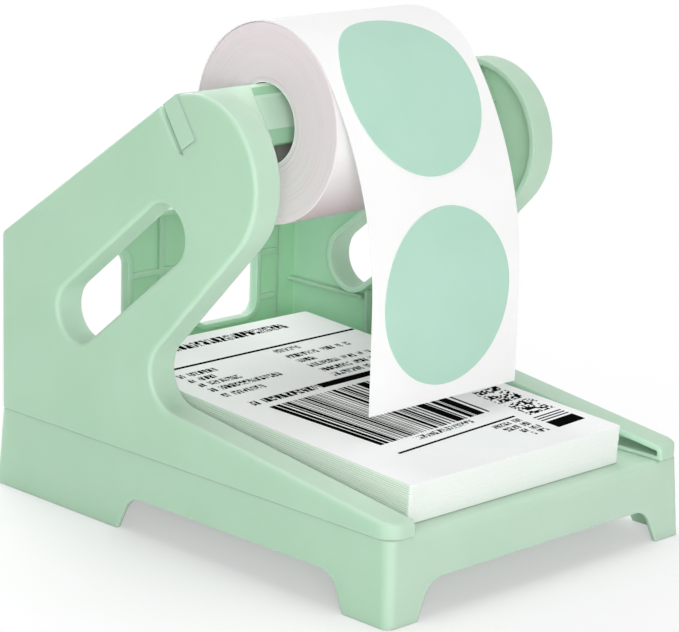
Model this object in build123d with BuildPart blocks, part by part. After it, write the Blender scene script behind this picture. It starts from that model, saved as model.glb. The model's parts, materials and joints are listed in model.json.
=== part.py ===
from build123d import *
import os
from math import cos, degrees, radians, sin, sqrt, tan

# A desk holder for label rolls and fan-fold labels, in millimetres.
# +X is the holder's right, -Y its open front, +Z up. The origin is on the table, under the middle.
# Two open-shell side panels and a rear wall stand on a hollow base. A spindle bar drops into
# slots in the panels' round heads and carries the roll. A pack of folded labels lies on the base.

# Pack of fan-fold labels, 4 x 6 inches
pack_w = 101.6
pack_l = 152.4
pack_h = 13.0
pack_fold_r = 1.0
pack_front = 86.8           # from the middle to its lower front edge
pack_shift = 3.4            # how far it lies to the left of the middle

# Bay between the side panels
bay_room = 9.05             # from each side panel to a pack in the middle of the bay

# Side panels
panel_l = 190.4             # length from the front to the rear
panel_depth = 10.7          # depth of the rim, from the outer face inwards
panel_corner_r = 5.9        # upright front corners of the side panels
rear_corner_r = 1.5
inside_corner_r = 1.0       # smallest radius inside a hollow's corners
rim_t = 2.0
skin_t = 2.2
foot_flange_t = 1.4
edge_r = 1.4                # rounding of the outer face's edges
foot_edge_r = 0.6           # rounding along the seam with the base
head_y = -4.4               # centre of the round head
head_rise = 96.8            # its height above the seam
head_r = 28.0
slant_angle = 34.1          # slope of the long upper edge
arm_angle = 46.0            # slope of the front of the arm
bay_r = 12.2                # hollow between the arm and the low wall
low_wall_h = 5.0            # low wall's height above the seam, at the front
low_wall_angle = 7.2
low_wall_nose_r = 2.4
panel_rear_r = 3.0
hole_y = 32.8               # middle of the slanted hand hole
hole_rise = 59.3            # its height above the seam
hole_span = 55.3            # between the centres of its round ends
hole_r = 10.4
hole_lean = 38.5
hole_edge_r = 1.4
hole_rim_t = 2.0
stiffener_t = 1.4
stiffener_h = 3.0
stiffener_z = 27.1          # level stiffener's height above the seam
stiffener_front = 54.4      # from the middle to its front end, below the hand hole's rear end
stiffener_y = 51.3          # upright stiffener's distance behind the middle
tab_w = 12.0
tab_t = 2.4
tab_reach = 3.0             # how far a tab passes under the base's top plate
tab_barb = 0.9
tab_front = 55.0            # from the middle to the front tab
tab_rear = 62.0             # from the middle to the rear tab
tab_inset = 6.2             # from the panel's outer face to the tab's middle

# Base
base_h = 27.7               # height of the seam above the table
seam_step = 0.5             # how far the base's top edge is set in from the panels
base_flare = 1.5            # how far each wall leans out at the table
base_corner_r = 3.8         # upright front corners, at the seam
foot_corner_r = 3.3         # the same at the table
base_wall = 1.6
base_deck = 2.4             # thickness of the top plate
deck_edge_r = 0.4
front_edge_r = 2.6          # rounding of the front top edge, between the panels
arch_h = 12.2               # height of the cut-outs that leave four feet
arch_lean = 5.8             # how far an arch's leg leans in over its height
arch_r = 8.5
front_arch_half = 58.4
side_arch_front = 76.5      # from the middle to the side arch's front leg
side_arch_rear = 31.5       # from the middle to its rear leg
rib_t = 1.6
rib_h = 6.0
rib_x = 24.0
rib_y = 46.0
rail_count = 5              # sloped rails that the folded labels lie on
rail_t = 2.4
rail_pitch = 22.0
rail_end = 74.0             # from the middle to a rail's high end
rail_angle = 3.5

# Rear wall
wall_t = 2.4
wall_top_drop = 1.2         # below the panels' rear corners
window_in = 16.5            # from the middle to a window's inner side
window_out = 47.3
window_low = 15.9           # above the seam
window_high = 49.6
window_r = 6.0
window_rim_t = 2.0
window_rim_d = 4.1          # depth of the rims, from the wall's rear face
cross_t = 2.2
cross_d = 3.6
wall_rib_t = 2.0            # level ribs between the windows and the wall's ends
wall_rib_d = 1.6
wall_rib_room = 2.6         # from a rib's end to the wall's end
wall_rib_low = 22.1         # middle of each rib, above the seam
wall_rib_high = 39.3
hook_t = 2.4
hook_d = 3.0
hook_z = 7.0                # middle of the hook at each end, above the seam
hook_reach = 4.5            # how far a hook passes behind the panel's rear rim

# Spindle bar
slot_shift = 3.2            # from the head's centre line, up the slant, to the slot's middle
tang_drop = 0.5             # from the slot's mouth down to the tang's top
tang_t = 7.6
tang_h = 16.3
shoulder_h = 4.1            # how far the bar hangs lower than its tangs
bar_t = 7.8
block_l = 20.7              # length of a solid end block
lip_h = 1.2                 # square edge of the bar's top flange
lip_slope_h = 3.2
web_t = 3.8
keel_h = 4.6                # tapered lower edge
keel_t = 1.6
slot_mouth_w = 2.4          # lead-in on the slot's rear edge, at its mouth
slot_foot_w = 1.6           # the same at its foot
slot_lead_d = 2.4           # depth of the lead-in, from the outer face
slot_wall_t = 2.0

# Roll of round labels
web_w = 70.0                # width of the backing strip
bore_r = 13.6
core_wall = 1.6
roll_r = 33.0
strip_t = 0.4
strip_back_angle = 105.0    # where the free strip starts, behind the roll's top
strip_leave_angle = 53.5    # where it leaves the roll, in front of the top
strip_front = 49.8          # the hanging part's distance in front of the middle
strip_end_rise = 22.9       # height of its lower end above the seam
label_r = 29.6
label_t = 0.25
label_margin = 5.2          # from the strip's lower end to the first label
label_gap = 9.8
label_points = 24           # points on each label's rim

# Clearances
seat_gap = 0.3              # between pieces that move apart
fit_gap = 0.15              # on each side of a sliding fit
layer_gap = 0.05            # between wound or stuck layers
overrun = 2.0

# Worked out from the sizes above
inner_w = pack_w / 2 + bay_room     # from the middle to the side panels' inner edges
half_w = inner_w + panel_depth
half_l = panel_l / 2
head_z = base_h + head_rise
hole_z = base_h + hole_rise
strip_end_z = base_h + strip_end_rise
slant = radians(slant_angle)
arm = radians(arm_angle)
wall_slope = radians(low_wall_angle)
pack_slope = radians(rail_angle)
lead = (-cos(slant), sin(slant))    # forwards and up, along the slanted edge
out = (sin(slant), cos(slant))      # away from the slanted edge
arm_out = (-sin(arm), -cos(arm))
arm_down = (cos(arm), -sin(arm))


def along(start, *steps):
    """The point (y, z) reached from start by steps of (direction, distance)."""
    y, z = start
    for direction, distance in steps:
        y += direction[0] * distance
        z += direction[1] * distance
    return (y, z)


head = (head_y, head_z)
mouth = along(head, (lead, slot_shift), (out, head_r))
head_top = along(head, (out, head_r))
rear_top_z = head_top[1] - (half_l - head_top[0]) * tan(slant)


def plan(height, grow, corner_r):
    """The holder's plan at a height, grown by a distance, with rounded front corners."""
    with BuildSketch(Plane.XY.offset(height), mode=Mode.PRIVATE) as outline:
        Rectangle(2 * (half_w + grow), 2 * (half_l + grow))
        front = outline.vertices().group_by(Axis.Y)[0]
        rear = outline.vertices().group_by(Axis.Y)[-1]
        fillet(front, max(corner_r, inside_corner_r))
        fillet(rear, max(rear_corner_r + grow, inside_corner_r))
    return outline.sketch


def arch(start, end):
    """An arch that stands on the table from start to end, with leaning legs."""
    with BuildSketch(mode=Mode.PRIVATE) as outline:
        with BuildLine():
            Polyline(
                (start, 0),
                (start + arch_lean, arch_h),
                (end - arch_lean, arch_h),
                (end, 0),
                close=True,
            )
        make_face()
        fillet(outline.vertices().group_by(Axis.Y)[-1], arch_r)
    return outline.sketch


tab_places = (-tab_front, tab_rear)

# Base: a hollow moulding on four feet
deck_low = base_h - base_deck
base_front = -half_l + seam_step
with BuildPart() as base:
    add(plan(0, base_flare - seam_step, foot_corner_r))
    add(plan(base_h, -seam_step, base_corner_r))
    loft(ruled=True)
    fillet(base.faces().sort_by(Axis.Z)[-1].edges(), deck_edge_r)
    add(plan(0, base_flare - seam_step - base_wall, foot_corner_r - base_wall))
    add(plan(deck_low, -seam_step - base_wall, base_corner_r - base_wall))
    loft(ruled=True, mode=Mode.SUBTRACT)
    # rounded front edge between the side panels
    with BuildSketch(Plane.YZ.offset(-inner_w)):
        with BuildLine():
            edge_low = (base_front - front_edge_r * base_flare / base_h, base_h - front_edge_r)
            edge_top = (base_front + front_edge_r, base_h)
            centre = (edge_top[0], edge_low[1])
            edge_mid = along(centre, ((-cos(radians(45)), sin(radians(45))), front_edge_r))
            ThreePointArc(edge_low, edge_mid, edge_top)
            Polyline(
                edge_top,
                (edge_top[0], base_h + overrun),
                (base_front - overrun, base_h + overrun),
                (base_front - overrun, edge_low[1]),
                edge_low,
            )
        make_face()
    extrude(amount=2 * inner_w, mode=Mode.SUBTRACT)
    # ribs under the top plate
    for x in (-rib_x, rib_x):
        with Locations((x, 0, deck_low)):
            Box(rib_t, 2 * half_l - base_wall, rib_h, align=(Align.CENTER, Align.CENTER, Align.MAX))
    for y in (-rib_y, 0, rib_y):
        with Locations((0, y, deck_low)):
            Box(2 * half_w - base_wall, rib_t, rib_h, align=(Align.CENTER, Align.CENTER, Align.MAX))
    # arches in the walls
    with BuildSketch(Plane.XZ):
        add(arch(-front_arch_half, front_arch_half))
    extrude(amount=half_l + base_flare + overrun, both=True, mode=Mode.SUBTRACT)
    with BuildSketch(Plane.YZ):
        add(arch(-side_arch_front, side_arch_rear))
    extrude(amount=half_w + base_flare + overrun, both=True, mode=Mode.SUBTRACT)
    # slots for the side panels' tabs
    with BuildSketch(Plane.XY.offset(base_h)):
        for side in (-1, 1):
            with Locations([(side * (half_w - tab_inset), y) for y in tab_places]):
                Rectangle(tab_t + 2 * fit_gap, tab_w + 2 * fit_gap)
    extrude(amount=-base_deck - overrun, mode=Mode.SUBTRACT)
    # rails
    for number in range(rail_count):
        rail_x = (number - (rail_count - 1) / 2) * rail_pitch
        with BuildSketch(Plane.YZ.offset(rail_x)):
            with BuildLine():
                Polyline(
                    (-pack_front + rail_t, base_h - base_deck / 2),
                    (-pack_front + rail_t, base_h + rail_t * tan(pack_slope)),
                    (rail_end, base_h + (rail_end + pack_front) * tan(pack_slope)),
                    (rail_end, base_h - base_deck / 2),
                    close=True,
                )
            make_face()
        extrude(amount=rail_t / 2, both=True)
base.part.label = "base"


def panel_outline(inset, foot_inset):
    """The side panel's outline, drawn in by a distance, and its foot by another."""
    front = -half_l + inset
    rear = half_l - inset
    foot = base_h + foot_inset
    wall_z = base_h + low_wall_h + inset * tan(wall_slope) - inset / cos(wall_slope)
    rear_z = rear_top_z + inset * tan(slant) - inset / cos(slant)
    radius = head_r - inset
    nose = along(head, (arm_out, radius))
    # where the arm's front line meets the low wall's top line
    drop = nose[1] - wall_z - (nose[0] - front) * tan(wall_slope)
    crotch = along(nose, (arm_down, drop / (sin(arm) + cos(arm) * tan(wall_slope))))
    with BuildSketch(mode=Mode.PRIVATE) as outline:
        with BuildLine():
            Polyline(
                along(head, (out, radius)),
                (rear, rear_z),
                (rear, foot),
                (front, foot),
                (front, wall_z),
                crotch,
                nose,
            )
            ThreePointArc(nose, (head_y - radius, head_z), along(head, (out, radius)))
        make_face()
        for corner, corner_r in (
            (crotch, bay_r + inset),
            ((rear, rear_z), panel_rear_r - inset),
            ((front, wall_z), low_wall_nose_r - inset),
        ):
            spot = outline.vertices().sort_by_distance((*corner, 0))[0]
            fillet(spot, corner_r)
    return outline.sketch


def slot_outline(grow, top_grow):
    """The slot in the head, open upwards, grown by one distance round the tang."""
    deep = tang_drop + tang_h + grow
    middle = along(mouth, (out, (top_grow - deep) / 2))
    with BuildSketch(mode=Mode.PRIVATE) as outline:
        with Locations(middle):
            Rectangle(deep + top_grow, tang_t + 2 * grow, rotation=90 - slant_angle)
    return outline.sketch


def hole_outline(grow):
    """The slanted hand hole, grown by a distance."""
    with BuildSketch(mode=Mode.PRIVATE) as outline:
        with Locations((hole_y, hole_z)):
            SlotCenterToCenter(hole_span, 2 * (hole_r + grow), rotation=-hole_lean)
    return outline.sketch


# Left side panel: an open shell with its rim towards the middle
with BuildPart() as panel_pocket:
    with BuildSketch(Plane.YZ.offset(-half_w + skin_t)):
        add(panel_outline(rim_t, foot_flange_t))
        add(hole_outline(hole_rim_t), mode=Mode.SUBTRACT)
        add(slot_outline(fit_gap + slot_wall_t, overrun), mode=Mode.SUBTRACT)
    extrude(amount=panel_depth)
    add(plan(base_h, -rim_t, panel_corner_r - rim_t))
    extrude(amount=head_z + head_r, mode=Mode.INTERSECT)

with BuildPart() as left_side_panel:
    with BuildSketch(Plane.YZ.offset(-half_w)):
        add(panel_outline(0, 0))
    extrude(amount=panel_depth)
    add(plan(base_h, 0, panel_corner_r))
    extrude(amount=head_z + head_r, mode=Mode.INTERSECT)
    face_edges = left_side_panel.faces().sort_by(Axis.X)[0].edges()
    upper_edges = face_edges.filter_by(lambda edge: edge.center().Z > base_h + fit_gap)
    fillet(upper_edges.filter_by(Axis.Z, reverse=True), edge_r)
    foot_edges = left_side_panel.faces().sort_by(Axis.Z)[0].edges()
    fillet(foot_edges.filter_by(lambda edge: edge.center().X < -inner_w - fit_gap), foot_edge_r)
    with BuildSketch(Plane.YZ.offset(-half_w - overrun)):
        add(hole_outline(0))
    extrude(amount=panel_depth + 2 * overrun, mode=Mode.SUBTRACT)
    outer_face = left_side_panel.faces().filter_by(Axis.X).sort_by(Axis.X)[0]
    fillet(outer_face.inner_wires().edges(), hole_edge_r)
    add(panel_pocket.part, mode=Mode.SUBTRACT)
    # slot for the spindle's tang, with a lead-in on its rear edge
    with BuildSketch(Plane.YZ.offset(-half_w - overrun)):
        add(slot_outline(fit_gap, overrun))
    extrude(amount=panel_depth + 2 * overrun, mode=Mode.SUBTRACT)
    slot_side = -tang_t / 2 - fit_gap
    slot_deep = tang_drop + tang_h + fit_gap
    slot_plane = Plane(origin=(-half_w, *mouth), x_dir=(0, *lead), z_dir=(1, 0, 0))
    with BuildSketch(slot_plane):
        with BuildLine():
            Polyline(
                (slot_side + fit_gap, -overrun),
                (slot_side - slot_mouth_w, -overrun),
                (slot_side - slot_foot_w, slot_deep),
                (slot_side + fit_gap, slot_deep + slot_foot_w),
                close=True,
            )
        make_face()
    extrude(amount=slot_lead_d, mode=Mode.SUBTRACT)
    # stiffeners on the skin's inner side
    with BuildSketch(Plane.YZ.offset(-half_w + skin_t - fit_gap)):
        with Locations((half_l - rim_t / 2, base_h + stiffener_z)):
            Rectangle(half_l - stiffener_front, stiffener_t, align=(Align.MAX, Align.CENTER))
        with Locations((stiffener_y, base_h)):
            Rectangle(stiffener_t, hole_z - base_h, align=(Align.CENTER, Align.MIN))
        add(hole_outline(hole_rim_t / 2), mode=Mode.SUBTRACT)
    extrude(amount=stiffener_h + fit_gap)
    # tabs that snap under the base's top plate
    for y in tab_places:
        with BuildSketch(Plane.XZ.offset(-y - tab_w / 2)):
            with BuildLine():
                tab_x = -half_w + tab_inset
                Polyline(
                    (tab_x - tab_t / 2, base_h + foot_flange_t / 2),
                    (tab_x + tab_t / 2, base_h + foot_flange_t / 2),
                    (tab_x + tab_t / 2, deck_low - fit_gap),
                    (tab_x + tab_t / 2 + tab_barb, deck_low - fit_gap),
                    (tab_x + tab_t / 4, deck_low - tab_reach),
                    (tab_x - tab_t / 2, deck_low - tab_reach),
                    close=True,
                )
            make_face()
        extrude(amount=tab_w)
left_side_panel.part.label = "left_side_panel"

with BuildPart() as right_side_panel:
    add(mirror(left_side_panel.part, about=Plane.YZ))
right_side_panel.part.label = "right_side_panel"


def window(grow):
    """Both windows of the rear wall, grown by a distance."""
    with BuildSketch(mode=Mode.PRIVATE) as outline:
        for side in (-1, 1):
            middle = (side * (window_in + window_out) / 2, base_h + (window_low + window_high) / 2)
            with Locations(middle):
                RectangleRounded(
                    window_out - window_in + 2 * grow,
                    window_high - window_low + 2 * grow,
                    window_r + grow,
                )
    return outline.sketch


# Rear wall: two rimmed windows, a cross on the mullion, and a hook behind each panel's rear rim
wall_half = inner_w - fit_gap
wall_top = rear_top_z - wall_top_drop
with BuildPart() as rear_wall:
    with BuildSketch(Plane.XZ.offset(-half_l)):
        with Locations((0, base_h)):
            Rectangle(2 * wall_half, wall_top - base_h, align=(Align.CENTER, Align.MIN))
    extrude(amount=wall_t)
    with BuildSketch(Plane.XZ.offset(-half_l)):
        add(window(window_rim_t))
        with Locations((0, wall_top)):
            Rectangle(2 * wall_half, window_rim_t, align=(Align.CENTER, Align.MAX))
        with Locations((0, base_h)):
            Rectangle(2 * wall_half, window_rim_t, align=(Align.CENTER, Align.MIN))
    extrude(amount=window_rim_d)
    with BuildSketch(Plane.XZ.offset(-half_l)):
        with Locations((0, base_h)):
            Rectangle(cross_t, wall_top - base_h, align=(Align.CENTER, Align.MIN))
        with Locations((0, base_h + wall_rib_high)):
            Rectangle(2 * window_in, cross_t)
    extrude(amount=cross_d)
    with BuildSketch(Plane.XZ.offset(-half_l)):
        add(window(0))
    extrude(amount=window_rim_d + overrun, mode=Mode.SUBTRACT)
    rib_start = window_out + window_rim_t / 2
    for side in (-1, 1):
        with BuildSketch(Plane.XZ.offset(-half_l)):
            rib_l = wall_half - wall_rib_room - rib_start
            for height in (wall_rib_low, wall_rib_high):
                with Locations((side * (rib_start + rib_l / 2), base_h + height)):
                    Rectangle(rib_l, wall_rib_t)
        extrude(amount=wall_t + wall_rib_d)
        with BuildSketch(Plane.XZ.offset(-half_l + rim_t + fit_gap)):
            hook_l = inner_w + hook_reach - rib_start
            with Locations((side * (rib_start + hook_l / 2), base_h + hook_z)):
                Rectangle(hook_l, hook_t)
        extrude(amount=hook_d)
rear_wall.part.label = "rear_wall"

# Spindle bar: tangs in the slots, solid end blocks, and a ribbed middle that carries the roll
bar_plane = Plane(origin=(0, *mouth), x_dir=(0, *lead), z_dir=(1, 0, 0))
bar_top = tang_drop
bar_foot = tang_drop + tang_h + shoulder_h
bar_end = inner_w - seat_gap
block_start = bar_end - block_l
with BuildPart() as spindle_bar:
    with BuildSketch(bar_plane):
        with BuildLine():
            Polyline(
                (0, bar_top),
                (bar_t / 2, bar_top),
                (bar_t / 2, bar_top + lip_h),
                (web_t / 2, bar_top + lip_h + lip_slope_h),
                (web_t / 2, bar_foot - keel_h),
                (keel_t / 2, bar_foot),
                (0, bar_foot),
            )
            mirror(about=Plane.YZ)
        make_face()
    extrude(amount=block_start + overrun, both=True)
    for side in (-1, 1):
        with BuildSketch(bar_plane.offset(side * block_start)) as block:
            with Locations((0, (bar_top + bar_foot) / 2)):
                Rectangle(bar_t, bar_foot - bar_top)
        extrude(amount=side * block_l)
        with BuildSketch(bar_plane.offset(side * (bar_end - overrun))) as tang:
            with Locations((0, bar_top + tang_h / 2)):
                Rectangle(tang_t, tang_h)
        extrude(amount=side * (half_w - layer_gap - bar_end + overrun))
spindle_bar.part.label = "spindle_bar"

# Roll: its bore hangs on the two top edges of the bar
roll_drop = sqrt((bore_r - seat_gap) ** 2 - (bar_t / 2) ** 2)
roll = along(mouth, (out, -bar_top - roll_drop))
roll_y, roll_z = roll
core_r = bore_r + core_wall


def ring(name, inner, outer):
    """A tube of the strip's width, round the roll's axis."""
    with BuildPart() as tube:
        with BuildSketch(Plane.YZ):
            with Locations(roll):
                Circle(outer)
                Circle(inner, mode=Mode.SUBTRACT)
        extrude(amount=web_w / 2, both=True)
    tube.part.label = name
    return tube.part


roll_core = ring("roll_core", bore_r, core_r)
label_roll = ring("label_roll", core_r + layer_gap, roll_r)

# Free strip: it lies on the roll's top, leaves it in a wide curve and hangs straight
strip_r = roll_r + seat_gap
leave = radians(strip_leave_angle)
back = radians(strip_back_angle)
swing_r = (roll_y + strip_front - strip_r * sin(leave)) / (1 - sin(leave))
swing_y = -strip_front + swing_r
swing_z = roll_z - (swing_r - strip_r) * cos(leave)
hang_l = swing_z - strip_end_z
swing_l = swing_r * (radians(90) - leave)


def strip_at(length, lift):
    """The point (y, z) at a length up from the strip's end, lifted off its inner face."""
    if length < hang_l:
        return (-strip_front - lift, strip_end_z + length)
    if length < hang_l + swing_l:
        turn = (length - hang_l) / swing_r
        return (
            swing_y - (swing_r + lift) * cos(turn),
            swing_z + (swing_r + lift) * sin(turn),
        )
    turn = radians(90) - leave + (length - hang_l - swing_l) / strip_r
    return (roll_y - (strip_r + lift) * cos(turn), roll_z + (strip_r + lift) * sin(turn))


strip_l = hang_l + swing_l + strip_r * (leave + back)


def strip_band(low_lift, high_lift):
    """The strip's section between two lifts, from its lower end to its start on the roll."""
    wide_end = hang_l + swing_l
    stops = (0, hang_l, hang_l + swing_l / 2, wide_end, (wide_end + strip_l) / 2, strip_l)
    low = [strip_at(length, low_lift) for length in stops]
    high = [strip_at(length, high_lift) for length in stops]
    with BuildSketch(mode=Mode.PRIVATE) as band:
        with BuildLine():
            Line(low[0], low[1])
            ThreePointArc(low[1], low[2], low[3])
            ThreePointArc(low[3], low[4], low[5])
            Line(low[5], high[5])
            ThreePointArc(high[5], high[4], high[3])
            ThreePointArc(high[3], high[2], high[1])
            Line(high[1], high[0])
            Line(high[0], low[0])
        make_face()
    return band.sketch


with BuildPart() as label_strip:
    with BuildSketch(Plane.YZ.offset(-web_w / 2)):
        add(strip_band(0, strip_t))
    extrude(amount=web_w)
label_strip.part.label = "label_strip"


def round_label(name, middle):
    """A round label stuck on the strip, bent with it, its middle at a length up the strip."""
    face_lift = strip_t + layer_gap
    centre = strip_at(middle, face_lift)
    step = label_r / label_points
    ahead = strip_at(middle + step, face_lift)
    behind = strip_at(middle - step, face_lift)
    up = Vector(0, ahead[0] - behind[0], ahead[1] - behind[1]).normalized()
    facing = Plane(origin=(0, *centre), x_dir=(1, 0, 0), z_dir=Vector(1, 0, 0).cross(up))
    rim = []
    for number in range(label_points):
        turn = radians(360 * number / label_points)
        place = strip_at(middle + label_r * sin(turn), face_lift)
        height = Vector(0, place[0] - centre[0], place[1] - centre[1]).dot(up)
        rim.append((label_r * cos(turn), height))
    with BuildPart() as sticker:
        with BuildSketch(Plane.YZ.offset(-web_w / 2)):
            add(strip_band(face_lift, face_lift + label_t))
        extrude(amount=web_w)
        with BuildSketch(facing.offset(-label_r)):
            with BuildLine():
                Spline(*rim, periodic=True)
            make_face()
        extrude(amount=2 * label_r, mode=Mode.INTERSECT)
    sticker.part.label = name
    return sticker.part


lower_middle = label_margin + label_r
lower_round_label = round_label("lower_round_label", lower_middle)
upper_round_label = round_label("upper_round_label", lower_middle + 2 * label_r + label_gap)

# Pack of fan-fold labels, on the sloped rails
pack_plane = Plane(
    origin=(-pack_shift, -pack_front, base_h + fit_gap),
    x_dir=(1, 0, 0),
    z_dir=(0, -sin(pack_slope), cos(pack_slope)),
)
with BuildPart() as fanfold_pack:
    with BuildSketch(pack_plane):
        Rectangle(pack_w, pack_l, align=(Align.CENTER, Align.MIN))
    extrude(amount=pack_h)
    top_folds = fanfold_pack.faces().sort_by(Axis.Z)[-1].edges().filter_by(Axis.X)
    fillet(top_folds, pack_fold_r)
fanfold_pack.part.label = "fanfold_pack"

print("roll axis at y, z:", round(roll_y, 2), round(roll_z, 2))
print("strip's wide curve:", round(swing_r, 1), "hangs straight for", round(hang_l, 1))

os.makedirs("parts", exist_ok=True)
pieces = [
    base.part,
    left_side_panel.part,
    right_side_panel.part,
    rear_wall.part,
    spindle_bar.part,
    roll_core,
    label_roll,
    label_strip.part,
    lower_round_label,
    upper_round_label,
    fanfold_pack.part,
]
for piece in pieces:
    export_step(piece, "parts/" + piece.label + ".step")
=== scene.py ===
# %% [markdown]
# # A desk holder for label rolls
# The holder is moulded in mint green plastic: two arm-shaped side panels and a rear wall on a
# footed base. A spindle bar carries a roll of round labels, and a pack of folded labels lies
# below it. The hard parts come from a CAD model that is already to size, so this script loads
# them, gives them their finishes, and models what a CAD solid can't show: the fine layers of
# the paper. One unit here is a metre, so sizes are written in millimetres and multiplied by mm.

# %% Load the CAD parts
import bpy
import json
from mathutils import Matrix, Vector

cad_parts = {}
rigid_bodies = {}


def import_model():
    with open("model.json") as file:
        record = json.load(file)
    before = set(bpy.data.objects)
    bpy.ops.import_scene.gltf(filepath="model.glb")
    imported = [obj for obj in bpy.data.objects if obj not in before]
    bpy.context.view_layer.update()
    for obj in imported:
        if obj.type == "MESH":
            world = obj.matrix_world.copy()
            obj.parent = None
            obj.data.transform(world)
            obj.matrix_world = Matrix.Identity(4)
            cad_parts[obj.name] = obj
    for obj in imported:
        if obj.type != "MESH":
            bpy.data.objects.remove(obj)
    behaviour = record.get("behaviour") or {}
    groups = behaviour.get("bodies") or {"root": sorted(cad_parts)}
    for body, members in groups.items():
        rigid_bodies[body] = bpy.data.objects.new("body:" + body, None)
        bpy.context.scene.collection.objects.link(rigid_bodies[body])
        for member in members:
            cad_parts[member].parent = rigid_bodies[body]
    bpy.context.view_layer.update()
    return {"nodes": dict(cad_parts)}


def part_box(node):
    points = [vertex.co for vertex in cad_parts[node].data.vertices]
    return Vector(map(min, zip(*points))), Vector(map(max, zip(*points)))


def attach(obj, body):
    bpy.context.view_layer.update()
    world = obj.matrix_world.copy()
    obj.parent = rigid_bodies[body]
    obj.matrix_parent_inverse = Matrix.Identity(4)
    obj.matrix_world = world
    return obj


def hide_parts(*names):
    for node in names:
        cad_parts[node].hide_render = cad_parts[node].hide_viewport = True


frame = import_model()

import json
import math
import random

import bmesh
import bpy
from mathutils import Matrix, Vector

mm = 0.001
parts = frame["nodes"]
print("parts:", ", ".join(sorted(parts)))

# %% [markdown]
# ## The camera
# The photograph was taken with a long lens from the holder's front left corner, a little above
# it. A long lens keeps parallel edges nearly parallel. The camera could be moved by hand until
# the edges fit; here its place was worked out from corners whose distances are known, so the
# numbers are simply set. The camera looks along its own -Z axis, so it is first stood up and
# then turned.

# %% Place the camera
azimuth, elevation, tilt = math.radians(-45.15), math.radians(14.20), math.radians(1.706)
look_at = Vector((-0.25, -0.68, 68.77)) * mm
distance = 899.69 * mm
backwards = Vector((
    math.sin(azimuth) * math.cos(elevation),
    -math.cos(azimuth) * math.cos(elevation),
    math.sin(elevation),
))
turned = Matrix.Rotation(azimuth, 3, "Z") @ Matrix.Rotation(math.pi / 2 - elevation, 3, "X")
turned = turned @ Matrix.Rotation(tilt, 3, "Z")
bpy.ops.object.camera_add(location=look_at + backwards * distance, rotation=turned.to_euler())
camera = bpy.context.object
camera.name = "photo_camera"
camera.data.sensor_width = 36
camera.data.lens = 139.906
bpy.context.scene.camera = camera
print("camera at", [round(value, 3) for value in camera.location])

# %% [markdown]
# ## Shader maths in plain words
# A finish is a net of shader nodes. Written out node by node, even 1 - mask takes five lines.
# This small class wraps a node's output so that Python's own signs add the Math nodes, and one
# method of Finish adds any other node. Lengths inside a finish are in millimetres.


# %% A class for sums on sockets
class Signal:
    """One output of a node, which can be used in sums such as 1 - mask."""

    def __init__(self, finish, socket):
        self.finish = finish
        self.socket = socket

    def maths(self, operation, *others):
        """Adds a Math node, with this signal as its first value."""
        sockets = dict(enumerate((self, *others)))
        return self.finish.node("ShaderNodeMath", {"operation": operation}, sockets)

    def __add__(self, other):
        return self.maths("ADD", other)

    __radd__ = __add__

    def __sub__(self, other):
        return self.maths("SUBTRACT", other)

    def __rsub__(self, other):
        return self.finish.node("ShaderNodeMath", {"operation": "SUBTRACT"}, {0: other, 1: self})

    def __mul__(self, other):
        return self.maths("MULTIPLY", other)

    __rmul__ = __mul__

    def __truediv__(self, other):
        return self.maths("DIVIDE", other)

    def __gt__(self, other):
        return self.maths("GREATER_THAN", other)

    def __lt__(self, other):
        return self.maths("LESS_THAN", other)

    def __abs__(self):
        return self.maths("ABSOLUTE")

    def within(self, low, high):
        """1 between two values and 0 outside them."""
        return (self > low) * (self < high)

    def ramp(self, low, high):
        """Rises evenly from 0 at low to 1 at high."""
        sockets = {"Value": self, "From Min": low, "From Max": high}
        return self.finish.node("ShaderNodeMapRange", {}, sockets)


print("signals can be added, multiplied and compared")


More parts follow.
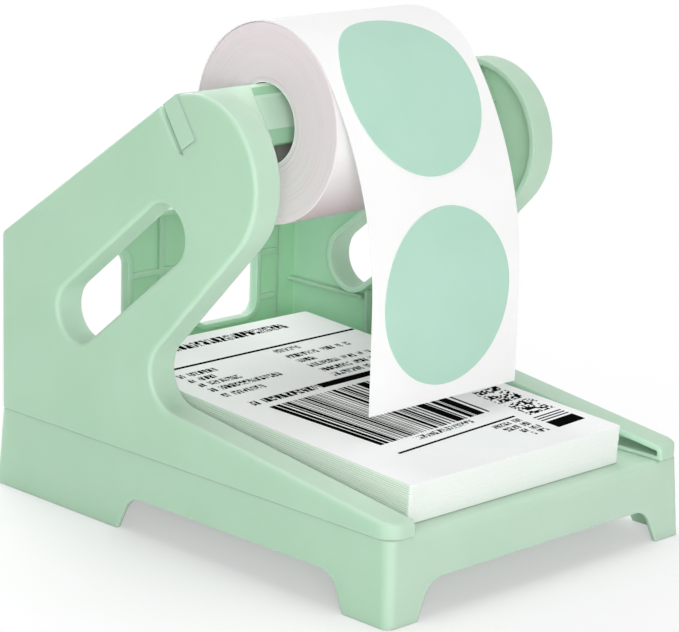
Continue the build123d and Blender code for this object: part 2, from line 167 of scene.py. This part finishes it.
# %% A class for finishes
class Finish:
    """A material with its Principled shader."""

    def __init__(self, name, **constants):
        self.material = bpy.data.materials.new(name)
        self.material.use_nodes = True
        self.tree = self.material.node_tree
        self.shader = self.tree.nodes["Principled BSDF"]
        self.set(**constants)
        place = self.node("ShaderNodeTexCoord", {}, {}, "Object")
        scaled = {"operation": "SCALE"}
        self.place = self.node("ShaderNodeVectorMath", scaled, {0: place, "Scale": 1 / mm})
        self.x, self.y, self.z = self.split(self.place)

    def node(self, kind, settings, sockets, output=0):
        """Adds a node, sets it up, feeds its sockets and gives one of its outputs."""
        node = self.tree.nodes.new(kind)
        for name, value in settings.items():
            setattr(node, name, value)
        for name, value in sockets.items():
            self.feed(node, name, value)
        outputs = [socket for socket in node.outputs if socket.enabled]
        if isinstance(output, int):
            return Signal(self, outputs[output])
        return Signal(self, next(socket for socket in outputs if socket.name == output))

    def feed(self, node, name, value):
        """Links or sets one socket of a node, found by its number or its name."""
        if isinstance(name, int):
            socket = node.inputs[name]
        else:
            socket = next(item for item in node.inputs if item.enabled and item.name == name)
        if isinstance(value, Signal):
            value = value.socket
        if isinstance(value, bpy.types.NodeSocket):
            self.tree.links.new(value, socket)
        else:
            socket.default_value = value

    def set(self, **values):
        """Feeds the Principled shader's sockets."""
        for name, value in values.items():
            self.feed(self.shader, name.replace("_", " "), value)

    def split(self, vector):
        """The x, y and z of a vector."""
        return [self.node("ShaderNodeSeparateXYZ", {}, {0: vector}, axis) for axis in "XYZ"]

    def point(self, x, y, z=0.0):
        """A vector from three signals or numbers."""
        return self.node("ShaderNodeCombineXYZ", {}, {"X": x, "Y": y, "Z": z})

    def noise(self, size, detail=2.0, roughness=0.5, place=None):
        """Soft noise from 0 to 1, whose spots are about size millimetres wide."""
        sockets = {"Vector": place or self.place, "Scale": 1 / size, "Detail": detail}
        sockets["Roughness"] = roughness
        return self.node("ShaderNodeTexNoise", {}, sockets)

    def chance(self, x, y=0.0):
        """A random value from 0 to 1, one for each whole step of x and y."""
        steps = [step.maths("FLOOR") if isinstance(step, Signal) else step for step in (x, y)]
        place = self.point(*steps)
        return self.node("ShaderNodeTexWhiteNoise", {"noise_dimensions": "2D"}, {"Vector": place})

    def mix(self, amount, first, second):
        """Blends two colours."""
        settings = {"data_type": "RGBA"}
        return self.node("ShaderNodeMix", settings, {"Factor": amount, "A": first, "B": second})

    def bump(self, height, distance, strength=1.0, over=None):
        """A bump of a height from 0 to 1, over a distance in millimetres."""
        sockets = {"Height": height, "Distance": distance * mm, "Strength": strength}
        if over:
            sockets["Normal"] = over
        return self.node("ShaderNodeBump", {}, sockets)

    def soft_edges(self, radius):
        """Normals that round off sharp edges, as a mould does."""
        return self.node("ShaderNodeBevel", {"samples": 6}, {"Radius": radius * mm})

    def on(self, *pieces):
        """Gives this finish to pieces."""
        for piece in pieces:
            piece.data.materials.clear()
            piece.data.materials.append(self.material)


print("finishes can be mixed")


# %% Colours as a picture file writes them
def linear(level):
    """One channel of a picture file, from 0 to 255, as the amount of light it stands for."""
    share = level / 255
    return ((share + 0.055) / 1.055) ** 2.4 if share > 0.04 else share / 12.92


def shade(red, green, blue):
    """A colour as a picture file writes it, made linear for the shader."""
    return (linear(red), linear(green), linear(blue), 1.0)


print("mid mint is", [round(value, 3) for value in shade(180, 214, 188)])

# %% [markdown]
# ## Floor and light
# A product photograph has a white floor and soft light from all round, so that edges show by
# gentle shading and the hollows stay bright. A bright world alone would leave the hollows dark,
# and one lamp alone would leave hard shadows. So an even world gives part of the light, a lamp
# close to the line of view reaches into the hollows, and two large ones light the top and the
# rear. Near the holder the floor is partly plain white, so that only a soft shadow stays, and
# further out it is white alone.

# %% Make the floor
bpy.ops.object.select_all(action="DESELECT")
bpy.ops.mesh.primitive_circle_add(vertices=96, radius=6.0, fill_type="TRIFAN")
floor = bpy.context.object
floor.name = "floor"
floor.location.z = -0.2 * mm

white_near, fade_start, fade_end = 0.42, 95, 290
white_floor = Finish(
    "white_floor", Roughness=0.9, Specular_IOR_Level=0.2, Base_Color=shade(250, 250, 250)
)
length = {"operation": "LENGTH"}
far = white_floor.node("ShaderNodeVectorMath", length, {0: white_floor.place}, "Value")
seen = white_floor.node("ShaderNodeLightPath", {}, {}, "Is Camera Ray")
white = white_floor.node("ShaderNodeEmission", {}, {"Color": (1, 1, 1, 1), "Strength": 1.0})
fade = (white_near + (1 - white_near) * far.ramp(fade_start, fade_end)) * seen
mixed = white_floor.node(
    "ShaderNodeMixShader", {}, {0: fade, 1: white_floor.shader.outputs[0], 2: white}
)
white_floor.feed(white_floor.tree.nodes["Material Output"], "Surface", mixed)
white_floor.on(floor)
print("the floor is white alone from", fade_end, "mm out")

# %% Light the world
world_level = 0.33
world = bpy.data.worlds.new("studio")
bpy.context.scene.world = world
world.use_nodes = True
backdrop = world.node_tree.nodes["Background"]
backdrop.inputs["Color"].default_value = (1, 1, 1, 1)
rays = world.node_tree.nodes.new("ShaderNodeLightPath")
strength = world.node_tree.nodes.new("ShaderNodeMapRange")
strength.inputs["To Min"].default_value = world_level
strength.inputs["To Max"].default_value = 1.0
world.node_tree.links.new(rays.outputs["Is Camera Ray"], strength.inputs["Value"])
world.node_tree.links.new(strength.outputs["Result"], backdrop.inputs["Strength"])
print("world level", world_level)


# %% Add three soft lamps
def soft_lamp(name, place, size, power):
    """A square lamp that faces the holder's middle."""
    aim = (look_at - Vector(place)).to_track_quat("-Z", "Y").to_euler()
    bpy.ops.object.light_add(type="AREA", location=place, rotation=aim)
    lamp = bpy.context.object
    lamp.name = name
    lamp.data.size = size
    lamp.data.energy = power


soft_lamp("front_left_lamp", place=(-0.82, -0.93, 0.35), size=0.45, power=8.35)
soft_lamp("top_lamp", place=(0.1, 0.1, 1.7), size=1.2, power=12.3)
soft_lamp("rear_lamp", place=(0.5, 1.4, 0.9), size=1.0, power=13.0)
bpy.context.scene.view_settings.view_transform = "Standard"

# %% [markdown]
# ## Mint plastic
# The holder's pieces are injection moulded with a fine satin texture, so highlights are broad
# and soft. Up close the colour is not quite even, and every edge is slightly round. The texture
# could be painted, but a procedural finish has no seams: fine noise gives the satin bump, broad
# noise a faint drift of colour and gloss, and a Bevel node rounds the edges in the shading.
# The walls are thin, so light that sinks in comes out again, and subsurface scattering carries it
# a few millimetres. One mint isn't enough, though, so light is painted into it. Faces that look up
# or to the front are painted a shade paler and greyer than the outer sides, as painted light. The
# panels' inner sides, which light each other, are painted paler and fresher, as painted light, and
# so is the rear wall's front, a little.


# %% Mix the mint plastic
def moulded(name, glow):
    """A satin plastic that lets a little light through, as much as its walls are thin."""
    finish = Finish(
        name, Subsurface_Weight=glow, Subsurface_Radius=(1.0, 1.0, 1.0), Subsurface_Scale=4 * mm,
        Specular_IOR_Level=0.4,
    )
    grain = finish.noise(0.35, detail=2)
    finish.set(
        Roughness=0.43 + 0.10 * finish.noise(6, detail=3),
        Normal=finish.bump(grain, 0.012, 0.6, over=finish.soft_edges(0.5)),
    )
    return finish, finish.noise(38, detail=3).ramp(0.3, 0.7)


plastic, drift = moulded("mint_plastic", glow=0.6)
# Painted light: the front, inner and rear tones are paler copies of the outer mint, for light that
# falls on those faces.
outer_tone = plastic.mix(drift, shade(177, 213, 185), shade(183, 217, 191))
painted_lit_front_tone = plastic.mix(drift, shade(188, 216, 194), shade(194, 220, 200))
painted_bounce_inner_tone = plastic.mix(drift, shade(195, 235, 206), shade(200, 238, 211))
painted_lit_rear_tone = plastic.mix(drift, shade(180, 221, 188), shade(185, 224, 193))
print("four tones of mint mixed")

# %% Paint light into the mint by where a face lies and where it looks
seam_height, head_start, head_end, rear_wall_start = 28.0, 96.0, 118.0, 80.0
light_start, light_full, faces_there = 0.3, 0.8, 0.5
facing_x, facing_y, facing_z = plastic.split(plastic.node("ShaderNodeTexCoord", {}, {}, "Normal"))
forwards = 0 - facing_y
inwards = 0 - facing_x * plastic.x.maths("SIGN")
to_light = facing_z.maths("MAXIMUM", forwards).ramp(light_start, light_full)
beside_bay = (plastic.z > seam_height) * (1 - plastic.z.ramp(head_start, head_end))
on_panels = beside_bay * (inwards > faces_there)
on_rear_wall = beside_bay * (forwards > faces_there) * (plastic.y > rear_wall_start)
# Painted light: faces to the front and up, the panels' inner sides and the rear wall's front are
# made paler than the outer sides.
mint = plastic.mix(to_light, outer_tone, painted_lit_front_tone)
mint = plastic.mix(on_panels, mint, painted_bounce_inner_tone)
mint = plastic.mix(on_rear_wall, mint, painted_lit_rear_tone)
plastic.set(Base_Color=mint)
plastic.on(*[parts[name] for name in ("base", "left_side_panel", "right_side_panel", "rear_wall")])
print("mint plastic on 4 parts")

# %% [markdown]
# ## The spindle bar
# The bar is solid at its two end blocks and a thin T between them. Its middle lies in the shade of
# the roll's bore, so it is painted the palest, as painted light, and the blocks are painted a
# little paler too. The slopes under its flange and its lower edge are painted a darker, fresher
# green, as painted shade, and the tangs in the slots have the holder's own mint. These could be
# materials on separate faces, but a CAD part's mesh is never changed. So a point's place on the
# bar is measured instead: out from the middle, and up the slant of the slots.

# %% Measure from the roll's axle
roll_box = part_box("label_roll")
roll_middle = (roll_box[0] + roll_box[1]) / 2


def from_axle(finish):
    """How far a point lies behind the roll's axle, and how far above it."""
    return finish.y - roll_middle.y / mm, finish.z - roll_middle.z / mm


print("the axle is", round(roll_middle.z / mm, 1), "mm above the table")

# %% Mix the spindle bar's plastic, with painted light and painted shade
slot_slant = math.radians(34.1)
block_start, tang_start, tang_end = 38.75, 59.0, 66.0
slope_low, slope_high, lower_edge_high = 9.2, 11.5, -2.9
bar_plastic, bar_drift = moulded("bar_plastic", glow=0.0)
# Painted light: the bar's middle and blocks are made paler than the plastic, against the shade of
# the bore.
painted_lit_middle_tone = bar_plastic.mix(bar_drift, shade(222, 253, 231), shade(226, 254, 234))
painted_lit_block_tone = bar_plastic.mix(bar_drift, shade(216, 244, 221), shade(220, 246, 225))
tang_tone = bar_plastic.mix(bar_drift, shade(178, 215, 188), shade(182, 218, 192))
behind, above = from_axle(bar_plastic)
up_bar = behind * math.sin(slot_slant) + above * math.cos(slot_slant)
# Painted shade: the slopes under the flange and the lower edge are a darker green.
painted_shade_on_slope = up_bar.within(slope_low, slope_high) + (up_bar < lower_edge_high)
out_from_middle = abs(bar_plastic.x)
bar_mint = bar_plastic.mix(painted_shade_on_slope, painted_lit_middle_tone, shade(178, 226, 190))
bar_mint = bar_plastic.mix(out_from_middle > block_start, bar_mint, painted_lit_block_tone)
bar_mint = bar_plastic.mix(out_from_middle.ramp(tang_start, tang_end), bar_mint, tang_tone)
bar_plastic.set(Base_Color=bar_mint)
bar_plastic.on(parts["spindle_bar"])
print("plastic on the spindle bar")

# %% [markdown]
# ## Working in edit mode
# Pieces are shaped as by hand: a primitive is added, and operators work on the edges or points
# that are selected. By hand they are clicked; here they are picked by their place.


# %% Helpers for edit mode
def start_piece(name, add, **settings):
    """Adds a primitive with nothing else selected, names it and opens it in edit mode."""
    bpy.ops.object.select_all(action="DESELECT")
    add(**settings)
    piece = bpy.context.object
    piece.name = piece.data.name = name
    bpy.ops.object.mode_set(mode="EDIT")
    return piece


def pick(kind, test):
    """Selects the points or edges whose middle passes a test."""
    bpy.ops.mesh.select_mode(type=kind)
    bpy.ops.mesh.select_all(action="DESELECT")
    shape = bmesh.from_edit_mesh(bpy.context.edit_object.data)
    for item in {"VERT": shape.verts, "EDGE": shape.edges}[kind]:
        corners = [item] if kind == "VERT" else item.verts
        middle = sum((corner.co for corner in corners), Vector()) / len(corners)
        item.select_set(test(middle))
    shape.select_flush_mode()
    bmesh.update_edit_mesh(bpy.context.edit_object.data)


def close_piece(piece):
    """Leaves edit mode, and bakes the object's place, turn and scale into its mesh."""
    bpy.ops.object.mode_set(mode="OBJECT")
    bpy.ops.object.select_all(action="DESELECT")
    piece.select_set(True)
    bpy.context.view_layer.objects.active = piece
    bpy.ops.object.transform_apply(location=True, rotation=True, scale=True)


print("edit helpers ready")

# %% [markdown]
# ## The winding
# The roll is a long paper strip wound on a card tube. Its side shows the strip's edge, turn by
# turn, so it is not flat: some turns lie up to a tenth of a millimetre deeper. A cylinder
# would show none of that. So the winding's section is drawn as a loop of edges, its two sides
# are cut into many short steps, four waves pick the steps that are moved in, and the loop is
# spun round. It is a hair wider than the CAD's roll, to lie close under the free strip.

# %% Size up the winding
to_strip, to_card, hair = 0.2 * mm, 0.05 * mm, 0.01 * mm
core_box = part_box("roll_core")
inner_radius = (core_box[1].z - core_box[0].z) / 2 + to_card
roll_radius = (roll_box[1].z - roll_box[0].z) / 2 + to_strip
roll_half = (roll_box[1].x - roll_box[0].x) / 2
turns_shown, steps_round = 46, 144
print("the winding is", round(2 * math.pi * roll_radius / mm, 1), "mm round")

# %% Draw its section
winding = start_piece("winding", bpy.ops.mesh.primitive_plane_add, size=1)
bpy.ops.transform.resize(value=(2 * roll_half, roll_radius - inner_radius, 1))
bpy.ops.mesh.delete(type="ONLY_FACE")
pick("VERT", lambda middle: middle.y > 0)
bpy.ops.mesh.bevel(offset=0.5 * mm, segments=3, affect="VERTICES")
pick("EDGE", lambda middle: abs(middle.x) > roll_half - hair)
bpy.ops.mesh.subdivide(number_cuts=turns_shown)
print("each side has", turns_shown, "cuts")

# %% Move some turns in
waves, first_wave, wave_step, wave_crest, wave_depth = 4, 5.1, 3.7, 0.55, 0.0008


def on_crest(middle, wave):
    """Whether a point of the sides lies on a crest of a wave."""
    height = math.sin(middle.y / mm * (first_wave + wave_step * wave))
    return abs(middle.x) > roll_half - hair and height > wave_crest


for wave in range(waves):
    pick("VERT", lambda middle: on_crest(middle, wave))
    bpy.ops.transform.resize(value=(1 - wave_depth * (wave + 1), 1, 1))
print("the deepest turns are", round(waves * wave_depth * roll_half / mm, 2), "mm in")

# %% Spin it round the axle
bpy.ops.mesh.select_all(action="SELECT")
bpy.ops.transform.translate(value=(0, (roll_radius + inner_radius) / 2, 0))
bpy.ops.mesh.spin(steps=steps_round, angle=2 * math.pi, center=(0, 0, 0), axis=(1, 0, 0))
bpy.ops.mesh.select_all(action="SELECT")
bpy.ops.mesh.remove_doubles(threshold=0.005 * mm)
bpy.ops.mesh.normals_make_consistent(inside=False)
bpy.ops.transform.translate(value=roll_middle)
close_piece(winding)
bpy.ops.object.shade_smooth_by_angle(angle=math.radians(40))
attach(winding, "roll")
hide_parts("label_roll")
print("winding has", len(winding.data.polygons), "faces")

# %% [markdown]
# ## Paper, labels and card
# The strip is smooth white backing paper. The roll's side, where the turns' edges show, is greyer
# and faintly warm, with fine rings round the axle. The roll's front is painted darker and warmer
# low down, a painted shade for the shadow of the hanging strip. The row of round labels goes on
# behind the roll's top, across the end of the free strip and on to the turn below it. A label of
# its own would have to be cut in two there, so one mask draws it on both. The core is a tube of
# pale grey card with a spiral seam, whose cut end is as white as the paper round it and has a fine
# light rim.

# %% Find the next label behind the roll's top
label_radius, next_label_turn = 29.6, math.radians(82)
label_mint = shade(182, 221, 202)


def next_label(finish):
    """1 on the round label behind the roll's top, on the strip and on the turn below it."""
    behind, above = from_axle(finish)
    around = (behind.maths("ARCTAN2", above) - next_label_turn) * (roll_radius / mm)
    return (finish.x * finish.x + around * around) < label_radius * label_radius


print("the next label lies", round(math.degrees(next_label_turn)), "degrees behind the top")

# %% Finish the winding
edge_start, edge_end = roll_half / mm - 0.45, roll_half / mm - 0.35
under_top, under_bottom, under_rear, under_front = -6.0, -30.0, 4.0, -12.0
wound = Finish("wound_paper")
behind, above = from_axle(wound)
radius = (behind * behind + above * above).maths("SQRT")
rings = wound.noise(0.32, detail=3, roughness=0.7, place=wound.point(radius, 0.0))
bands = wound.noise(3.0, detail=2, place=wound.point(radius, 4.0))
on_edges = abs(wound.x).ramp(edge_start, edge_end)
edge_tone = wound.mix(rings.ramp(0.25, 0.75), shade(236, 223, 228), shade(246, 236, 240))
edge_tone = wound.mix(0.35 * bands.ramp(0.3, 0.7), edge_tone, shade(236, 222, 227))
# Painted shade: the front of the roll is darker and warmer low down, for the hanging strip's
# shadow.
painted_strip_shade = above.ramp(under_top, under_bottom) * behind.ramp(under_rear, under_front)
face_tone = wound.mix(painted_strip_shade, shade(250, 248, 249), shade(212, 192, 196))
face_tone = wound.mix(next_label(wound), face_tone, label_mint)
wound.set(
    Base_Color=wound.mix(on_edges, face_tone, edge_tone),
    Roughness=0.45 + 0.25 * on_edges,
    Normal=wound.bump(rings * on_edges, 0.03, 0.7),
)
wound.on(winding)
print("the winding's paper has", len(wound.tree.nodes), "nodes")


# %% Finish the strip and the round labels
def coated_paper(name, fibre_size, cloud_size, smoothest):
    """Smooth paper with fine fibres, and clouds from 0 to 1 for a drift of its tone."""
    finish = Finish(name)
    fibre = finish.noise(fibre_size, detail=4, roughness=0.6)
    finish.set(Roughness=smoothest + 0.10 * fibre, Normal=finish.bump(fibre, 0.01, 0.4))
    return finish, finish.noise(cloud_size, detail=2).ramp(0.3, 0.7)


backing, clouds = coated_paper("backing_paper", fibre_size=0.6, cloud_size=18, smoothest=0.36)
backing_white = backing.mix(clouds, shade(251, 250, 250), shade(253, 253, 253))
backing.set(Base_Color=backing.mix(next_label(backing), backing_white, label_mint))
backing.on(parts["label_strip"])

labels, clouds = coated_paper("round_label_paper", fibre_size=0.5, cloud_size=22, smoothest=0.38)
labels.set(Base_Color=labels.mix(clouds, shade(180, 220, 201), shade(185, 223, 205)))
labels.on(parts["lower_round_label"], parts["upper_round_label"])
print("strip and labels finished")

# %% Finish the core
bore_radius, rim_width, end_depth = 13.6, 0.35, 0.35
seam_rise, seam_pitch, seam_share = 9.0, 28.27, 0.02
card = Finish("core_card")
behind, above = from_axle(card)
radius = (behind * behind + above * above).maths("SQRT")
along_spiral = card.x + seam_rise * behind.maths("ARCTAN2", above)
seam = (along_spiral / seam_pitch).maths("FRACT").within(0.0, seam_share)
pulp = card.noise(1.2, detail=5, roughness=0.7)
card_tone = card.mix(pulp, shade(206, 198, 196), shade(222, 214, 212))
card_tone = card.mix(seam * 0.5, card_tone, shade(160, 150, 147))
on_rim = radius < bore_radius + rim_width
end_tone = card.mix(on_rim, shade(232, 226, 228), shade(252, 250, 250))
on_end = abs(card.x) > roll_half / mm - end_depth
card.set(
    Base_Color=card.mix(on_end, card_tone, end_tone),
    Roughness=0.8 + 0.15 * pulp,
    Normal=card.bump(pulp - seam, 0.05, 0.5),
)
card.on(parts["roll_core"])
print("the card's seams are", seam_pitch, "mm apart")

# %% [markdown]
# ## The folded pack
# Fan-fold labels are one long strip folded to and fro, so the pack's left and right sides show
# the edges of its leaves, and its front and rear show the folds. One block with painted lines
# would have straight silhouettes. So a single leaf is made from a flattened cube with rounded
# edges, and copied until there are 18, with tiny shifts, as a pack squared up by hand has. The
# label on top is one more piece, thinner than a leaf.

# %% Size up the pack
pack_width, pack_length, pack_height = 101.6 * mm, 152.4 * mm, 13.0 * mm
pack_slope = math.radians(3.5)
pack_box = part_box("fanfold_pack")
pack_corner = Vector((
    pack_box[0].x, pack_box[0].y + pack_height * math.sin(pack_slope), pack_box[0].z,
))
leaves, label_thickness = 18, 0.25 * mm
leaf_pitch = (pack_height - label_thickness) / leaves
leaf_thickness = leaf_pitch * 0.97
print("pack's lower front corner", [round(value / mm, 2) for value in pack_corner])


# %% Helpers for the pack's pieces
edge_reach, near_face = 1 * mm, 0.9


def at_side(middle):
    """Whether an edge lies on the left or right side."""
    return abs(middle.x) > pack_width / 2 - edge_reach


def at_end(middle):
    """Whether an edge lies at the front or rear end."""
    return abs(middle.y) > pack_length / 2 - edge_reach


def at_face(middle):
    """Whether an edge lies on a leaf's upper or lower face."""
    return abs(middle.z) > leaf_thickness / 2 * near_face


def lay_down(piece):
    """Gives a finished piece the pack's slope and place."""
    piece.rotation_euler.x = pack_slope
    piece.location = pack_corner
    close_piece(piece)


print("each leaf is", round(leaf_thickness / mm, 2), "mm thick")

# %% Make one leaf
leaf = start_piece("folded_labels", bpy.ops.mesh.primitive_cube_add, size=1)
bpy.ops.transform.resize(value=(pack_width - 0.25 * mm, pack_length - 0.3 * mm, leaf_thickness))
pick("EDGE", lambda middle: at_side(middle) and at_end(middle))
bpy.ops.mesh.bevel(offset=0.9 * mm, segments=4, affect="EDGES")
pick("EDGE", lambda middle: at_side(middle) and at_face(middle))
bpy.ops.mesh.bevel(offset=0.16 * mm, segments=2, affect="EDGES")
pick("EDGE", lambda middle: at_end(middle) and at_face(middle))
bpy.ops.mesh.bevel(offset=0.05 * mm, segments=2, affect="EDGES")
bpy.ops.mesh.select_all(action="SELECT")
bpy.ops.transform.translate(value=(pack_width / 2, pack_length / 2, leaf_pitch / 2))
close_piece(leaf)
print("one leaf has", len(leaf.data.polygons), "faces")

# %% Stack its copies
shifts = random.Random(7)
for number in range(1, leaves):
    bpy.ops.object.select_all(action="DESELECT")
    leaf.select_set(True)
    bpy.context.view_layer.objects.active = leaf
    bpy.ops.object.duplicate()
    bpy.ops.transform.translate(value=(
        shifts.uniform(-0.08, 0.08) * mm, shifts.uniform(-0.03, 0.03) * mm, number * leaf_pitch,
    ))
bpy.ops.object.select_all(action="DESELECT")
for item in bpy.data.objects:
    item.select_set(item.name.startswith("folded_labels"))
bpy.context.view_layer.objects.active = leaf
bpy.ops.object.join()
lay_down(leaf)
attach(leaf, "pack")
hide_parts("fanfold_pack")
print("pack of", leaves, "leaves,", len(leaf.data.polygons), "faces")

# %% Lay the top label on it
top_label = start_piece("top_label", bpy.ops.mesh.primitive_cube_add, size=1)
bpy.ops.transform.resize(value=(pack_width - 0.2 * mm, pack_length - 0.3 * mm, label_thickness))
pick("EDGE", lambda middle: at_side(middle) and at_end(middle))
bpy.ops.mesh.bevel(offset=1.2 * mm, segments=4, affect="EDGES")
bpy.ops.mesh.select_all(action="SELECT")
label_height = pack_height - label_thickness / 2
bpy.ops.transform.translate(value=(pack_width / 2, pack_length / 2, label_height))
close_piece(top_label)
lay_down(top_label)
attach(top_label, "pack")
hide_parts("fanfold_pack")
print("top label", [round(value / mm, 1) for value in top_label.dimensions])

# %% [markdown]
# ## Paper of the pack
# The leaves' edges are white paper, painted with a green tint that stands for the light the mint
# plastic round them throws on them, and on their sides painted shade draws fine dark lines between
# the leaves. The top label carries a printed form. It is kept generic: rules, rows of random
# dashes, bars of random width and two blocks of random squares, none of which can be read.

# %% Finish the leaves
side_start, side_end = 50.3, 50.6
leaf_paper = Finish("pack_paper")
into_pack = leaf_paper.y - pack_corner.y / mm
up_pack = (leaf_paper.z - pack_corner.z / mm) - into_pack * math.tan(pack_slope)
line = (up_pack / (leaf_pitch / mm)).maths("FRACT")
painted_shade_groove = 1 - abs(line - 0.5).ramp(0.5, 0.3)
on_side = abs(leaf_paper.x - (pack_box[0].x + pack_width / 2) / mm).ramp(side_start, side_end)
# Painted shade and light: dark green lines between the leaves, and a green tint for the light the
# mint plastic throws on them.
painted_side_tone = leaf_paper.mix(painted_shade_groove, shade(243, 254, 243), shade(174, 206, 179))
leaf_fibre = leaf_paper.noise(0.8, detail=4)
# The leaves' ends have a faint painted green tint for that light too.
end_tone = leaf_paper.mix(leaf_fibre, shade(243, 248, 243), shade(248, 251, 248))
leaf_paper.set(
    Base_Color=leaf_paper.mix(on_side, end_tone, painted_side_tone),
    Roughness=0.55 + 0.15 * leaf_fibre,
    Normal=leaf_paper.bump(leaf_fibre, 0.02, 0.4),
)
leaf_paper.on(leaf)
print("leaf lines every", round(leaf_pitch / mm, 2), "mm")

# %% Measure the form from its front left corner
row_skew, skew_loss = 0.085, 0.0006
form = Finish("printed_label", Specular_IOR_Level=0.0)
across = form.x - pack_box[0].x / mm
back = (form.y - pack_box[0].y / mm) / math.cos(pack_slope)
row = back - across * (row_skew - skew_loss * back)
print("the form's first row slants", round(row_skew * pack_width / mm, 1), "mm over its width")

# %% Helpers for printing
word_cells, gap_share, blank_share = 5, 0.15, 0.09
marks_start, words_start = 31.7, 11.3


def patch(left, right, low, high):
    """A printed rectangle, in millimetres from the form's front left corner."""
    return across.within(left, right) * row.within(low, high)


def dashes(left, right, middle, height=3.5, weight=0.7, cell=0.4):
    """A row of random marks, as small print looks from a step away."""
    word = across / (cell * word_cells)
    marks = form.chance(across / cell, row / (height / 3) + marks_start) < weight
    gaps = word.maths("FRACT") > gap_share
    words = form.chance(word + words_start) > blank_share
    return patch(left, right, middle - height / 2, middle + height / 2) * marks * gaps * words


print("printing helpers ready")

# %% Lay out the rules and rows
# Each rule: left, right, low, high
rules = [
    (2.0, 101.2, 124.9, 126.5), (44.0, 96.0, 82.0, 86.2), (18.0, 78.0, 21.0, 22.2),
    (82, 97, 15.7, 16.5), (82, 97, 13.9, 14.7), (82, 97, 12.1, 12.9), (82.3, 97.1, 4.6, 10.8),
]
# Each row: left, right, middle, and then its height, weight and cell where they differ
rows = [
    (3, 82, 143.2, 5.4, 0.76, 0.55), (11, 43.6, 84.0, 4.0, 0.82, 0.5), (33, 62, 27.4, 3.0, 0.6),
    (8.8, 26, 118.3), (8.8, 21, 113.0), (8.8, 28, 107.8), (8.8, 42, 102.0), (8.8, 28, 95.6),
    (56.6, 69, 121.0), (56.6, 88, 114.0), (56.6, 65, 108.5), (56.6, 97, 102.6),
    (56.6, 94, 96.4), (56.6, 76, 90.6),
    (63, 77, 18.2, 2.8), (64, 77, 14.0, 3.2, 0.75), (68, 78, 10.0, 2.8), (70, 78, 6.4, 2.8),
]
ink = sum(patch(*sizes) for sizes in rules) + sum(dashes(*sizes) for sizes in rows)
print(len(rules), "rules and", len(rows), "rows")

# %% Add the bars and the squares
bars_left, bars_right, bars_low, bars_high = 16.4, 74.6, 30.2, 78.4
lean_rate, upright_row, lean_start, lean_width = 0.098, 55, 16, 58.5
bar_width, run_width, runs_start = 0.47, 2.1, 5.0
thin_share, thick_share, square, square_share = 0.48, 0.34, 0.9, 0.5
lean = across + lean_rate * (back - upright_row) * (1 - (across - lean_start) / lean_width)
thick = form.chance(lean / run_width + runs_start)
bars = form.chance(lean / bar_width) < (thin_share + thick_share * thick)
ink = ink + bars * lean.within(bars_left, bars_right) * row.within(bars_low, bars_high)
squares = form.chance(across / square, row / square) < square_share
ink = ink + squares * (patch(83, 96.6, 33.0, 47.2) + patch(83.5, 97.2, 18.7, 31.3))
print("bars of", bar_width, "mm and squares of", square, "mm")

# %% Print the form on the top label
clouds = form.noise(25, detail=2).ramp(0.3, 0.7)
paper = form.mix(clouds, shade(246, 246, 247), shade(249, 249, 249))
form_fibre = form.noise(0.7, detail=4)
form.set(
    Base_Color=form.mix(ink.maths("MINIMUM", 1.0), paper, shade(12, 12, 13)),
    Roughness=0.5 + 0.15 * form_fibre,
    Normal=form.bump(form_fibre, 0.015, 0.4),
)
form.on(top_label)
print("form laid out with", len(form.tree.nodes), "nodes")

# %% [markdown]
# ## Bring the scene up to date
# The last call brings the scene's transforms up to date.

# %% Update the scene
bpy.context.view_layer.update()
